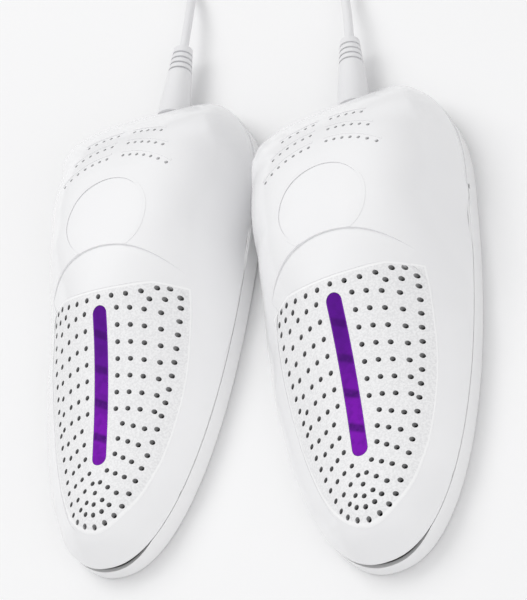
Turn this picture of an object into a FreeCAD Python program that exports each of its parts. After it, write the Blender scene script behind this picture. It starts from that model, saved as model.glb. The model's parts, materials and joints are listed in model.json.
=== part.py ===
"""A pair of boot dryers: two warm-air units that slip into a pair of boots, on one forked mains lead.

Each unit is a two-piece plastic case shaped like a computer mouse.  A plate heater inside warms the
air, which leaves through the perforated zone, the heel vents and the slit at the toe, and a violet lamp
strip shines into the boot.  Both units stand on their flat soles.

One unit is modelled in its own frame and then placed twice.  In that frame x runs across, y runs from
the toe (negative) to the heel (positive) with its zero under the round badge, and z is up from the sole.
All sizes are millimetres.
"""
import FreeCAD, Part
import math
import os

from FreeCAD import Base

Vector = Base.Vector
Z_UP = Vector(0, 0, 1)

# ---- driving dimensions of one unit ---------------------------------------------------------------
TOE_Y = -115.0           # tip of the toe
HEEL_Y = 65.0            # back of the heel
WIDEST_Y = 17.4          # station of the greatest width
HALF_WIDTH = 37.7
PARTING_Z = 8.0          # joint between the two halves of the case
TOE_ROUNDNESS = 2.25     # exponents of the two superellipse halves of the outline
HEEL_ROUNDNESS = 2.35
WALL = 1.8               # wall of the upper shell
BASE_WALL = 2.0          # wall and floor of the lower shell
SEAT_GAP = 0.1           # clearance where one piece drops into another

# crest of the upper shell on its centre plane, from the toe to the heel: (y, z)
CREST = (
    (-125.0, -8.0), (-115.0, 9.0), (-112.0, 13.2), (-109.2, 16.8), (-105.9, 19.3), (-102.0, 20.8),
    (-94.7, 21.3), (-86.9, 21.5), (-76.6, 22.9), (-66.7, 24.7), (-55.6, 27.2), (-44.7, 30.2),
    (-33.5, 34.0), (-27.0, 36.4), (-19.5, 38.2), (-11.6, 39.3), (0.0, 40.0), (9.0, 40.0),
    (17.4, 39.5), (24.2, 38.4), (30.5, 36.6), (36.7, 34.1), (42.5, 30.7), (48.3, 26.2),
    (54.1, 20.9), (58.9, 15.6), (65.0, 8.2), (75.0, -4.0),
)
# fall of a cross-section away from the crest, z lost = a (x/30)^2 + b (x/30)^4: (y, a, b)
CAMBER = (
    (-125.0, 33.0, 0.0), (-107.0, 31.0, 0.0), (-98.0, 26.0, 0.0), (-87.0, 17.6, 0.0),
    (-67.0, 15.2, 0.0), (-45.0, 15.7, 0.0), (-27.0, 19.0, 0.0), (-12.0, 10.0, 6.8),
    (0.0, 1.9, 13.2), (15.0, 1.9, 10.2), (30.0, 1.9, 8.6), (37.0, 0.9, 5.9), (46.0, 0.2, 3.9),
    (75.0, 0.2, 3.4),
)
SIDE_STEEPNESS = 3.6     # rise of the side wall for each millimetre inwards
SIDE_FOOT = 4.0          # height of the side wall where it leaves the parting line
SHOULDER = 1.9           # softness of the shoulder between side and top
DENT_WIDTH = 6.5         # shallow hollow along each flank, in from the outline
# depth of that hollow along the case: (y, height taken away)
DENT = ((-75.0, 0.0), (-45.0, 1.0), (-5.0, 2.2), (28.0, 2.5), (46.0, 1.0), (60.0, 0.0), (66.0, 0.0))
PARTING_GROOVE = 0.35    # width and depth of the fine groove between the two halves
LIP_END_Y = 13.2         # the heel's raised lip runs round from here to the same station
LIP_HEIGHT = 0.8
LIP_REACH = 0.3
SLIT_HALF_WIDTH = 16.0
SLIT_DEPTH = 2.5         # greatest height of the crescent slit at the toe

# perforated zone
ZONE_TIP_Y = -108.0
ZONE_DEPTH = 0.2
HOLE_RADIUS = 0.82
VENT_RADIUS = 0.6        # small vents on the heel
VENT_PITCH = 2.8
FIRST_VENT_X = 3.2
RIDGE_HEIGHT = 0.16      # fine raised line beside each half row of vents
ROW_PITCH = 5.5          # between the even rows beside the lens
# stretches of the row of holes round the zone, toe to crown: points of each one's curve, steps on it
RIM_STRETCHES = (
    (((0.0, -105.8), (5.4, -104.0), (9.1, -99.7)), 3),
    (((9.1, -99.7), (15.5, -81.9), (20.2, -63.7), (23.1, -45.1), (24.1, -31.6)), 15),
    (((24.1, -31.6), (23.6, -27.4), (21.6, -26.0), (18.4, -26.5)), 3),
    (((18.4, -26.5), (9.3, -29.2), (0.0, -29.4)), 4),
)
# short rows below and above the even ones: first hole, step to the next, number of holes
FAN_ROWS = (
    (16.2, -30.4, 4.1, 0.6, 2),
    (7.7, -71.6, 3.4, -0.85, 3),
    (6.4, -76.6, 3.2, -1.1, 3),
    (5.6, -81.7, 2.7, -1.4, 3),
    (3.3, -87.2, 2.95, -1.3, 3),
    (1.4, -91.2, 2.9, -2.05, 3),
    (2.9, -97.6, 2.4, -1.8, 2),
    (3.0, -101.5, 0.0, 0.0, 1),
)
CENTRE_HOLES = (-94.8, -98.8, -102.3)
# vents on the heel: y of the row at the centre, how far it curves forward at x = 20, vents on each side
HEEL_ROWS = (
    (24.8, 6.3, 7),
    (31.1, 5.6, 6),
    (37.4, 4.9, 5),
)

# round badge and the scoop in front of it
BADGE_RADIUS = 14.9
BADGE_DEPTH = 0.18
BEAD_WIDTH = 0.9         # raised bead round the badge
BEAD_HEIGHT = 0.14
SCOOP_TOP_Y = -11.6
SCOOP_DEPTH = 0.9

# violet lens
LENS_TOP_Y = -32.1
LENS_END_Y = -84.9
LENS_WIDTH = 5.3
LENS_DROP = 0.25         # the lens lies this far under the shell's face
LENS_RIB_PITCH = 11.4

# strain relief and cord
RELIEF_Z = 8.3
RELIEF_BASE_RADIUS = 5.9
RELIEF_TIP_RADIUS = 3.4
RELIEF_LENGTH = 27.0
CORD_RADIUS = 1.6

# heater
HEATER_Y = -18.0         # middle of the heater plate
PLATE_LENGTH = 66.0
PLATE_WIDTH = 38.0
PLATE_Z = 12.5
POST_X = 15.5
POST_Y = 28.5            # posts stand this far either side of the heater's middle

CASE_SCREWS = ((-23.0, 34.0), (23.0, 34.0), (-26.5, -10.0), (26.5, -10.0))
BOARD_SCREWS_Y = (LENS_TOP_Y + 8.0, LENS_END_Y - 3.6)
TONGUE_STATIONS = (-35.0, 0.0, 36.0)


# ---- general helpers -------------------------------------------------------------------------------
def smooth_value(table, column, y):
    """Value of one column of a table at y, on a curve through its points that doesn't overshoot them."""
    if y <= table[0][0]:
        return table[0][column]
    if y >= table[-1][0]:
        return table[-1][column]
    i = max(k for k in range(len(table) - 1) if table[k][0] <= y)

    def slope_at(k):
        """Slope at a row of the table: the harmonic mean of both sides', or 0 at an end or a turning point."""
        if k == 0 or k == len(table) - 1:
            return 0.0
        before = (table[k][column] - table[k - 1][column]) / (table[k][0] - table[k - 1][0])
        after = (table[k + 1][column] - table[k][column]) / (table[k + 1][0] - table[k][0])
        if before * after <= 0:
            return 0.0
        return 2 * before * after / (before + after)

    step = table[i + 1][0] - table[i][0]
    t = (y - table[i][0]) / step
    a, b = table[i][column], table[i + 1][column]
    m, n = slope_at(i) * step, slope_at(i + 1) * step
    return (
        (2 * t**3 - 3 * t**2 + 1) * a
        + (t**3 - 2 * t**2 + t) * m
        + (3 * t**2 - 2 * t**3) * b
        + (t**3 - t**2) * n
    )


def outline_share(x, y):
    """0 at the middle of the sole and 1 on the case's outline."""
    if y > WIDEST_Y:
        power, length = HEEL_ROUNDNESS, HEEL_Y - WIDEST_Y
    else:
        power, length = TOE_ROUNDNESS, WIDEST_Y - TOE_Y
    across = abs(x) / HALF_WIDTH
    along = abs(y - WIDEST_Y) / length
    return (across**power + along**power) ** (1 / power)


def skin_height(x, y):
    """Height of the upper shell's outer face: the cambered crest blended into the steep side wall."""
    share = abs(x) / 30.0
    top = smooth_value(CREST, 1, y)
    top -= smooth_value(CAMBER, 1, y) * share**2 + smooth_value(CAMBER, 2, y) * share**4
    inwards = HALF_WIDTH * (1 - outline_share(x, y))
    side = PARTING_Z + SIDE_FOOT + SIDE_STEEPNESS * inwards
    if 0 < inwards < DENT_WIDTH:
        side -= smooth_value(DENT, 1, y) * math.sin(math.pi * inwards / DENT_WIDTH) ** 2
    low, high = min(top, side), max(top, side)
    return low - SHOULDER * math.log1p(math.exp((low - high) / SHOULDER))


def inner_height(x, y):
    """Height of the upper shell's inner face, one wall thickness inside the outer one."""
    d = 0.25
    slope_x = (skin_height(x + d, y) - skin_height(x - d, y)) / (2 * d)
    slope_y = (skin_height(x, y + d) - skin_height(x, y - d)) / (2 * d)
    stretch = math.sqrt(1 + slope_x**2 + slope_y**2)
    return skin_height(x, y) - WALL * min(stretch, 3.0)


def height_face(height, x_span, y_span, pitch):
    """A smooth face through height(x, y) on an even grid."""
    columns = max(4, int(round((x_span[1] - x_span[0]) / pitch)))
    rows = max(4, int(round((y_span[1] - y_span[0]) / pitch)))
    grid = []
    for i in range(columns + 1):
        x = x_span[0] + (x_span[1] - x_span[0]) * i / columns
        line = []
        for j in range(rows + 1):
            y = y_span[0] + (y_span[1] - y_span[0]) * j / rows
            line.append(Vector(x, y, height(x, y)))
        grid.append(line)
    surface = Part.BSplineSurface()
    surface.interpolate(grid)
    return surface.toShape()


def under(face, drop=0.0):
    """Solid below a height face that has been lowered by drop."""
    lowered = face.translated(Vector(0, 0, -drop))
    return lowered.extrude(Vector(0, 0, -90))


def over(face, drop=0.0):
    """Solid above a height face that has been lowered by drop."""
    lowered = face.translated(Vector(0, 0, -drop))
    return lowered.extrude(Vector(0, 0, 60))


def prism(wire, z0, z1):
    """Upright solid over a closed flat wire drawn at z = 0."""
    face = Part.Face(wire)
    return face.extrude(Vector(0, 0, z1 - z0)).translated(Vector(0, 0, z0))


def closed_curve(points):
    """Smooth closed wire through the points."""
    curve = Part.BSplineCurve()
    curve.interpolate(Points=points, PeriodicFlag=True)
    return Part.Wire([curve.toShape()])


def case_outline(inset):
    """The case's outline, moved inwards by inset: two half superellipses that meet at the widest station."""
    points = []
    count = 56
    for k in range(count):
        angle = 2 * math.pi * k / count
        c, s = math.cos(angle), math.sin(angle)
        if s > 0:
            power, length = HEEL_ROUNDNESS, HEEL_Y - WIDEST_Y
        else:
            power, length = TOE_ROUNDNESS, WIDEST_Y - TOE_Y
        x = (HALF_WIDTH - inset) * math.copysign(abs(c) ** (2 / power), c)
        y = WIDEST_Y + (length - inset) * math.copysign(abs(s) ** (2 / power), s)
        points.append(Vector(x, y, 0))
    return closed_curve(points)


def slot_outline(width, y0, y1):
    """Straight slot along y with round ends."""
    r = width / 2
    a, b = y0 + r, y1 - r
    right = Part.LineSegment(Vector(r, a, 0), Vector(r, b, 0))
    end = Part.Arc(Vector(r, b, 0), Vector(0, y1, 0), Vector(-r, b, 0))
    left = Part.LineSegment(Vector(-r, b, 0), Vector(-r, a, 0))
    start = Part.Arc(Vector(-r, a, 0), Vector(0, y0, 0), Vector(r, a, 0))
    return Part.Wire([s.toShape() for s in (right, end, left, start)])


def box(x0, x1, y0, y1, z0, z1):
    """Box from its limits."""
    return Part.makeBox(x1 - x0, y1 - y0, z1 - z0, Vector(x0, y0, z0))


def rod(x, y, z0, z1, radius):
    """Upright cylinder."""
    return Part.makeCylinder(radius, z1 - z0, Vector(x, y, z0))


def fused(shapes):
    """One clean solid out of several that overlap."""
    result = shapes[0].multiFuse(shapes[1:])
    return result.removeSplitter()


def group(shapes):
    """Separate solids kept together as one node."""
    return Part.makeCompound(shapes)


# ---- the upper shell -------------------------------------------------------------------------------
def zone_outline():
    """Outline of the perforated zone: a long shield with round upper corners."""
    right = [
        Vector(6.0, -106.4, 0), Vector(11.6, -101.0, 0), Vector(17.0, -90.5, 0), Vector(21.0, -79.0, 0),
        Vector(24.3, -64.0, 0), Vector(26.4, -48.0, 0), Vector(26.9, -36.0, 0), Vector(26.2, -28.6, 0),
        Vector(22.6, -24.5, 0), Vector(17.0, -24.3, 0), Vector(9.0, -26.2, 0),
    ]
    left = [Vector(-p.x, p.y, 0) for p in reversed(right)]
    tip = [Vector(0, ZONE_TIP_Y, 0)]
    crown = [Vector(0, -27.0, 0)]
    return closed_curve(tip + right + crown + left)


def rim_holes():
    """Holes at even steps along the four stretches that follow the edge of the perforated zone."""
    holes = []
    for points, steps in RIM_STRETCHES:
        curve = Part.BSplineCurve()
        curve.interpolate([Vector(x, y, 0) for x, y in points])
        for point in curve.discretize(Number=steps + 1)[1:]:
            holes += [(point.x, point.y), (-point.x, point.y)]
    tip = RIM_STRETCHES[0][0][0]
    return [tip] + holes[:-1]


def inner_holes():
    """Even rows of holes beside the lens, then the fan of short rows that closes in below it."""
    right = []
    for row in range(7):
        y = -33.5 - ROW_PITCH * row
        narrowing = 1.0 - 0.0029 * row * row
        for x, drop in ((6.2 - 0.03 * row, 0.0), (10.4, 0.1), (14.6, 0.4), (19.2, 0.9)):
            right.append((x * narrowing, y - drop))
    for x, y, step_x, step_y, count in FAN_ROWS:
        for k in range(count):
            right.append((x + step_x * k, y + step_y * k))
    both = [(sign * x, y) for x, y in right for sign in (1, -1)]
    return both + [(0.0, y) for y in CENTRE_HOLES]


def row_y(row, x):
    """y of a heel row at x, an arc that sweeps towards the toe."""
    start, sweep, _ = row
    return start - sweep * (x / 20.0) ** 2


def heel_holes():
    """Small vents in three curved rows either side of the centre."""
    holes = []
    for row in HEEL_ROWS:
        for k in range(row[2]):
            x = FIRST_VENT_X + VENT_PITCH * k
            holes += [(x, row_y(row, x)), (-x, row_y(row, x))]
    return holes


def heel_ridge_band(row, side):
    """Plan outline of the fine raised line on the heel side of one half row."""
    reach = FIRST_VENT_X + VENT_PITCH * (row[2] - 0.5)
    start, rise, half = 2.0, 2.1, 0.4
    low, high = [], []
    for k in range(7):
        x = start + (reach - start) * k / 6
        low.append(Vector(side * x, row_y(row, x) + rise - half, 0))
        high.append(Vector(side * x, row_y(row, x) + rise + half, 0))
    a, b = Part.BSplineCurve(), Part.BSplineCurve()
    a.interpolate(low)
    b.interpolate(high[::-1])
    ends = [Part.LineSegment(low[-1], high[-1]), Part.LineSegment(high[0], low[0])]
    return Part.Wire([a.toShape(), ends[0].toShape(), b.toShape(), ends[1].toShape()])


def scoop_outline():
    """Plan outline of the scoop: the arc below the badge, then down to the perforated zone."""
    arc = Part.Arc(Vector(-25.5, -20.0, 0), Vector(0, SCOOP_TOP_Y, 0), Vector(25.5, -20.0, 0))
    right = Part.LineSegment(Vector(25.5, -20.0, 0), Vector(22.0, -27.0, 0))
    foot = Part.LineSegment(Vector(22.0, -27.0, 0), Vector(-22.0, -27.0, 0))
    left = Part.LineSegment(Vector(-22.0, -27.0, 0), Vector(-25.5, -20.0, 0))
    return Part.Wire([s.toShape() for s in (arc, right, foot, left)])


def scoop_height(x, y):
    """Floor of the scoop: deepest under its arc and level with the shell at the zone and at both sides."""
    arc_y = SCOOP_TOP_Y - 8.4 * (x / 25.5) ** 2
    away = min(max((arc_y - y) / 14.5, 0.0), 1.0)
    fade = (1 - away) ** 1.4 * max(0.0, 1 - (abs(x) / 26.0) ** 4)
    return skin_height(x, y) - SCOOP_DEPTH * fade


def upper_shell(skin, lining):
    """Gloss shell with its badge, scoop, perforated zone, heel vents, lens slot and screw bosses."""
    outside = prism(case_outline(0.0), PARTING_Z, 60)
    inside = prism(case_outline(WALL), PARTING_Z - 5, 60)
    body = outside.common(under(skin))
    body = body.cut(inside.common(under(lining)))

    bosses = []
    for x, y in CASE_SCREWS:
        bosses.append(rod(x, y, PARTING_Z, 50, 3.2).common(under(skin, 1.0)))
    for y in BOARD_SCREWS_Y:
        bosses.append(rod(0, y, board_height(y) + 1.3, 50, 2.0).common(under(skin, 1.0)))
    relief_wall = box(-9, 9, 55.0, 58.0, PARTING_Z, 50).common(under(skin, 1.0))
    ridges = []
    for row in HEEL_ROWS:
        for side in (1, -1):
            band = prism(heel_ridge_band(row, side), 20, 50)
            ridges.append(band.common(under(skin, -RIDGE_HEIGHT)).common(over(skin, 0.6)))
    bead = rod(0, 0, 20, 60, BADGE_RADIUS + BEAD_WIDTH).cut(rod(0, 0, 19, 61, BADGE_RADIUS))
    bead = bead.cut(box(-30, 30, -60, SCOOP_TOP_Y - 2.0, 0, 60))
    ridges.append(bead.common(under(skin, -BEAD_HEIGHT)).common(over(skin, 0.6)))
    lip = prism(case_outline(-LIP_REACH), PARTING_Z, PARTING_Z + LIP_HEIGHT)
    lip = lip.cut([prism(case_outline(0.5), PARTING_Z - 1, 60), box(-50, 50, -130, LIP_END_Y, 0, 60)])
    body = body.multiFuse(bosses + [relief_wall, lip] + ridges)

    zone = prism(zone_outline(), 5, 60).common(over(skin, ZONE_DEPTH))
    badge = rod(0, 0, 20, 60, BADGE_RADIUS).common(over(skin, BADGE_DEPTH))
    badge = badge.cut(box(-30, 30, -60, SCOOP_TOP_Y - 2.0, 0, 60))
    scoop_floor = height_face(scoop_height, (-32, 32), (-36, -6), 2.0)
    scoop = prism(scoop_outline(), 10, 60).common(over(scoop_floor))
    body = body.cut([zone, badge, scoop])

    drills = [rod(x, y, 5, 45, HOLE_RADIUS) for x, y in rim_holes() + inner_holes()]
    drills += [rod(x, y, 20, 45, VENT_RADIUS) for x, y in heel_holes()]
    drills += [prism(slot_outline(LENS_WIDTH, LENS_END_Y, LENS_TOP_Y), 5, 60)]
    drills += [rod(x, y, PARTING_Z - 1, PARTING_Z + 12, 1.1) for x, y in CASE_SCREWS]
    for y in BOARD_SCREWS_Y:
        drills.append(rod(0, y, board_height(y), board_height(y) + 3.4, 0.8))
    drills.append(relief_passage())
    return body.cut(drills)


# ---- the lower shell -------------------------------------------------------------------------------
def relief_passage():
    """The opening through the heel that the strain relief sits in."""
    neck = Part.makeCylinder(3.9, 16, Vector(0, 53, RELIEF_Z), Vector(0, 1, 0))
    mouth = Part.makeCylinder(RELIEF_BASE_RADIUS + 0.1, 30, Vector(0, 61.5, RELIEF_Z), Vector(0, 1, 0))
    return neck.fuse(mouth)


def toe_slit():
    """Crescent air slit that the two halves of the case leave open at the toe."""
    left = Vector(-SLIT_HALF_WIDTH, 0, PARTING_Z)
    right = Vector(SLIT_HALF_WIDTH, 0, PARTING_Z)
    low = Part.Arc(left, Vector(0, 0, PARTING_Z - SLIT_DEPTH), right)
    top = Part.LineSegment(right, left)
    face = Part.Face(Part.Wire([low.toShape(), top.toShape()]))
    return face.extrude(Vector(0, 20, 0)).translated(Vector(0, TOE_Y - 5, 0))


def locating_tongues():
    """Short tongues on the base's rim that reach up inside the upper shell and keep the halves in line."""
    inset = WALL + SEAT_GAP
    ring = prism(case_outline(inset), PARTING_Z - 1.2, PARTING_Z + 2.2)
    ring = ring.cut(prism(case_outline(inset + 1.1), PARTING_Z - 2, PARTING_Z + 3))
    return [ring.common(box(-50, 50, y - 5, y + 5, 0, 20)) for y in TONGUE_STATIONS]


def lower_shell():
    """Shallow base with a flat sole, posts for the heater, sleeves for the case screws and the cord bay."""
    body = prism(case_outline(0.0), 0, PARTING_Z)
    sole_edges = [e for e in body.Edges if e.BoundBox.ZMax < 0.01]
    body = body.makeFillet(1.6, sole_edges)
    body = body.cut(prism(case_outline(BASE_WALL), BASE_WALL, 30))
    added = [rod(x, y, 0.5, PARTING_Z - SEAT_GAP, 3.6) for x, y in CASE_SCREWS]
    for side_x in (-POST_X, POST_X):
        for side_y in (-POST_Y, POST_Y):
            added.append(rod(side_x, HEATER_Y + side_y, 1.0, PLATE_Z, 2.9))
    for x in (-8.0, 8.0):
        added.append(rod(x, 49.5, 1.0, 7.0, 2.6))
    added.append(box(-9, 9, 55.0, 58.0, 1.0, PARTING_Z))
    for tongue in locating_tongues():
        added += tongue.Solids
    body = body.multiFuse(added)
    groove = prism(case_outline(-1.0), PARTING_Z - PARTING_GROOVE, PARTING_Z + 0.5)
    cuts = [groove.cut(prism(case_outline(PARTING_GROOVE), 0, 30))]
    for x, y in CASE_SCREWS:
        cuts.append(rod(x, y, -1, 20, 1.5))
        cuts.append(rod(x, y, -1, 3.2, 2.8))
    for side_x in (-POST_X, POST_X):
        for side_y in (-POST_Y, POST_Y):
            cuts.append(rod(side_x, HEATER_Y + side_y, 4.0, 20, 0.95))
    for x in (-8.0, 8.0):
        cuts.append(rod(x, 49.5, 2.5, 20, 0.95))
    cuts.append(relief_passage())
    cuts.append(toe_slit())
    for side in (-1, 1):
        notch = box(-1.4, 1.4, -1.0, 1.0, PARTING_Z - 1.4, PARTING_Z + 1)
        cuts.append(notch.translated(Vector(side * HALF_WIDTH, LIP_END_Y, 0)))
    return body.cut(cuts)


# ---- the lamp --------------------------------------------------------------------------------------
def board_height(y):
    """Underside of the lamp board, which slopes down to the toe under the lens."""
    return 28.4 + (y - LENS_TOP_Y) * 0.232


def light_lens(skin):
    """Translucent strip that fills the slot, with a flange inside the shell and cross ribs below."""
    top = prism(slot_outline(LENS_WIDTH - 2 * SEAT_GAP, LENS_END_Y + SEAT_GAP, LENS_TOP_Y - SEAT_GAP), 5, 60)
    strip = top.common(under(skin, LENS_DROP)).common(over(skin, 3.3))
    flange_plan = slot_outline(LENS_WIDTH + 2.6, LENS_END_Y - 1.3, LENS_TOP_Y + 1.3)
    flange = prism(flange_plan, 5, 60).common(under(skin, 2.75)).common(over(skin, 3.6))
    body = strip.fuse(flange)
    grooves = []
    for k in range(4):
        y = LENS_TOP_Y - 9.3 - LENS_RIB_PITCH * k
        groove = box(-1.9, 1.9, y - 0.8, y + 0.8, 10, 60)
        grooves.append(groove.common(under(skin, 1.9)))
    return body.cut(grooves)


def led_board():
    """Narrow circuit board that carries the lamps."""
    y0, y1 = LENS_END_Y - 9.0, LENS_TOP_Y + 11.0
    corners = [
        Vector(-4, y0, board_height(y0)), Vector(-4, y1, board_height(y1)),
        Vector(-4, y1, board_height(y1) + 1.2), Vector(-4, y0, board_height(y0) + 1.2),
    ]
    side = Part.Face(Part.makePolygon(corners + corners[:1]))
    board = side.extrude(Vector(8, 0, 0))
    return board.cut([rod(0, y, 0, 50, 1.1) for y in BOARD_SCREWS_Y])


def on_board(shape, x, y):
    """Place a shape drawn about the origin on top of the board at x, y."""
    tilt = math.degrees(math.atan(0.232))
    turned = shape.rotated(Vector(0, 0, 0), Vector(1, 0, 0), tilt)
    return turned.translated(Vector(x, y, board_height(y) + 1.2))


def uv_leds():
    """Four lamp packages, one under each bay between the ribs of the lens."""
    lamps = []
    for k in range(4):
        y = LENS_TOP_Y - 3.6 - LENS_RIB_PITCH * (k + 0.02)
        base = box(-1.4, 1.4, -1.75, 1.75, 0.03, 0.7)
        dome = Part.makeCylinder(0.9, 0.35, Vector(0, 0, 0.7))
        lamps.append(on_board(base.fuse(dome), 0, y))
    return group(lamps)


def led_resistors():
    """Series resistors on the lamp board."""
    parts = []
    for y in (LENS_TOP_Y - 9.6, LENS_TOP_Y - 32.4):
        for x in (-2.7, 2.7):
            parts.append(on_board(box(-0.6, 0.6, -1.0, 1.0, 0.03, 0.55), x, y))
    return group(parts)


def board_screws():
    """Two small screws that hold the lamp board to the shell's bosses."""
    screws = []
    for y in BOARD_SCREWS_Y:
        z = board_height(y)
        head = rod(0, y, z - 1.6, z - 0.5, 1.8)
        shank = rod(0, y, z - 0.5, z + 3.2, 0.8)
        screws.append(head.fuse(shank))
    return group(screws)


# ---- the heater ------------------------------------------------------------------------------------
def heat_plate():
    """Finned aluminium plate that spreads the heat, held on four posts."""
    x, y = PLATE_WIDTH / 2, PLATE_LENGTH / 2
    plate = box(-x, x, HEATER_Y - y, HEATER_Y + y, PLATE_Z, PLATE_Z + 1.6)
    fins = []
    for k in range(5):
        fin_x = -10.0 + 5.0 * k
        fins.append(box(fin_x - 0.5, fin_x + 0.5, HEATER_Y - 22, HEATER_Y - 6, PLATE_Z + 1.0, PLATE_Z + 6.5))
        fins.append(box(fin_x - 0.5, fin_x + 0.5, HEATER_Y + 6, HEATER_Y + 22, PLATE_Z + 1.0, PLATE_Z + 6.5))
    holes = [rod(sx * POST_X, HEATER_Y + sy * POST_Y, 0, 30, 1.3) for sx in (-1, 1) for sy in (-1, 1)]
    return fused([plate] + fins).cut(holes)


def ptc_heater():
    """Flat ceramic heating element pressed against the underside of the plate."""
    return box(-7, 7, HEATER_Y - 17, HEATER_Y + 17, PLATE_Z - 4.0, PLATE_Z)


def heat_shield():
    """Thin mica sheet on the floor of the base, under the heater."""
    sheet = box(-12.0, 12.0, HEATER_Y - 32, HEATER_Y + 32, BASE_WALL, BASE_WALL + 0.6)
    return sheet


def heater_clip():
    """Spring-steel strap that hooks over the plate and presses the element up."""
    strap = box(-12.4, 12.4, HEATER_Y - 4, HEATER_Y + 4, PLATE_Z - 4.8, PLATE_Z + 2.5)
    hollow = box(-11.6, 11.6, HEATER_Y - 5, HEATER_Y + 5, PLATE_Z - 4.0, PLATE_Z + 1.6)
    mouth = box(-9.0, 9.0, HEATER_Y - 5, HEATER_Y + 5, PLATE_Z + 1.0, PLATE_Z + 4)
    return strap.cut([hollow, mouth])


def plate_slots():
    """Slots in the heater plate that the strap's sides pass through."""
    slots = []
    for side in (-1, 1):
        x = side * 12.0
        slots.append(box(x - 0.5, x + 0.5, HEATER_Y - 4.2, HEATER_Y + 4.2, PLATE_Z - 1, PLATE_Z + 3))
    return slots


def heater_screws():
    """Four screws that hold the plate on its posts."""
    screws = []
    for side_x in (-POST_X, POST_X):
        for side_y in (-POST_Y, POST_Y):
            x, y = side_x, HEATER_Y + side_y
            head = rod(x, y, PLATE_Z + 1.6, PLATE_Z + 2.9, 2.2)
            shank = rod(x, y, PLATE_Z - 7.5, PLATE_Z + 1.6, 0.95)
            screws.append(head.fuse(shank))
    return group(screws)


def thermal_cutout():
    """Over-temperature cutout on the heel end of the plate."""
    y = HEATER_Y + 27.5
    can = box(-4.0, 4.0, y - 4.5, y + 4.5, PLATE_Z + 1.6, PLATE_Z + 5.6)
    tags = [box(x - 0.8, x + 0.8, y + 4.5, y + 8.5, PLATE_Z + 3.2, PLATE_Z + 3.7) for x in (-2.2, 2.2)]
    return fused([can] + tags)


# ---- cord entry ------------------------------------------------------------------------------------
def strain_relief():
    """Tapered sleeve with rings near its tip, a neck through the heel wall and a collar inside."""
    collar = Part.makeCylinder(5.2, 2.4, Vector(0, 52.5, RELIEF_Z), Vector(0, 1, 0))
    collar = collar.common(box(-10, 10, 40, 80, BASE_WALL + 0.4, 30))
    neck = Part.makeCylinder(3.8, 8.0, Vector(0, 54.0, RELIEF_Z), Vector(0, 1, 0))
    cone = Part.makeCone(
        RELIEF_BASE_RADIUS, RELIEF_TIP_RADIUS, RELIEF_LENGTH + 3.4, Vector(0, 61.6, RELIEF_Z), Vector(0, 1, 0)
    )
    body = fused([collar, neck, cone])
    tip_y = 61.6 + RELIEF_LENGTH + 3.4
    grooves = []
    for k in range(4):
        y = tip_y - 3.0 - 2.45 * k
        ring = Part.makeCylinder(8, 0.8, Vector(0, y - 0.4, RELIEF_Z), Vector(0, 1, 0))
        core = Part.makeCylinder(CORD_RADIUS + 0.9, 1.2, Vector(0, y - 0.6, RELIEF_Z), Vector(0, 1, 0))
        grooves.append(ring.cut(core))
    return body.cut(grooves)


def cord_clamp():
    """Bar that clamps the cord behind the strain relief."""
    bar = box(-11, 11, 46.7, 52.3, 7.0, 9.8)
    groove = Part.makeCylinder(CORD_RADIUS + 0.05, 8, Vector(0, 46, RELIEF_Z - 1.2), Vector(0, 1, 0))
    holes = [rod(x, 49.5, 0, 20, 1.3) for x in (-8.0, 8.0)]
    return bar.cut([groove] + holes)


def clamp_screws():
    """Two screws through the clamp bar."""
    screws = []
    for x in (-8.0, 8.0):
        head = rod(x, 49.5, 9.8, 11.2, 2.2)
        shank = rod(x, 49.5, 3.2, 9.8, 0.95)
        screws.append(head.fuse(shank))
    return group(screws)


def case_screws():
    """Four screws that come up through the sole into the upper shell."""
    screws = []
    for x, y in CASE_SCREWS:
        head = rod(x, y, 1.4, 3.2, 2.6)
        recess = box(-1.7, 1.7, -0.35, 0.35, 1.0, 2.3)
        cross = [recess, recess.rotated(Vector(0, 0, 0), Z_UP, 90)]
        cross = [c.translated(Vector(x, y, 0)) for c in cross]
        shank = rod(x, y, 3.2, PARTING_Z + 9.0, 1.1)
        screws.append(head.fuse(shank).cut(cross))
    return group(screws)


def bent_wire(points, radius):
    """Tube of straight runs joined by tangent arcs."""
    edges = []
    start = points[0]
    for before, corner, after in zip(points, points[1:], points[2:]):
        into = (corner - before).normalize()
        out = (after - corner).normalize()
        half_turn = into.getAngle(out) / 2
        run = min((corner - before).Length, (after - corner).Length)
        cut = 0.45 * run
        a, b = corner - into * cut, corner + out * cut
        bend = cut / math.tan(half_turn)
        middle = corner + (out - into).normalize() * (bend / math.cos(half_turn) - bend)
        edges.append(Part.LineSegment(start, a).toShape())
        edges.append(Part.Arc(a, middle, b).toShape())
        start = b
    edges.append(Part.LineSegment(start, points[-1]).toShape())
    path = Part.Wire(edges)
    first = (points[1] - points[0]).normalize()
    section = Part.Wire([Part.makeCircle(radius, points[0], first)])
    return path.makePipeShell([section], True, False)


def lamp_wires():
    """Two insulated wires from the clamp up to the lamp board."""
    wires = []
    for side in (-1, 1):
        points = [
            Vector(side * 1.0, 46.0, 8.0), Vector(side * 3.5, 36.0, 12.0), Vector(side * 6.0, 20.0, 20.0),
            Vector(side * 5.2, 0.0, 27.0), Vector(side * 3.4, -14.0, 29.6), Vector(side * 2.6, -21.3, 31.5),
        ]
        wires.append(bent_wire(points, 0.6))
    return group(wires)


def heater_wires():
    """Two insulated wires from the clamp to the cutout and the element."""
    wires = []
    for side in (-1, 1):
        points = [
            Vector(side * 2.4, 46.0, 6.6), Vector(side * 8.0, 40.0, 5.2), Vector(side * 13.0, 27.0, 6.0),
            Vector(side * 9.6, 15.0, 8.4), Vector(side * 4.4, 6.0, 9.6), Vector(side * 3.6, -0.9, 10.4),
        ]
        wires.append(bent_wire(points, 0.75))
    return group(wires)


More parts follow.
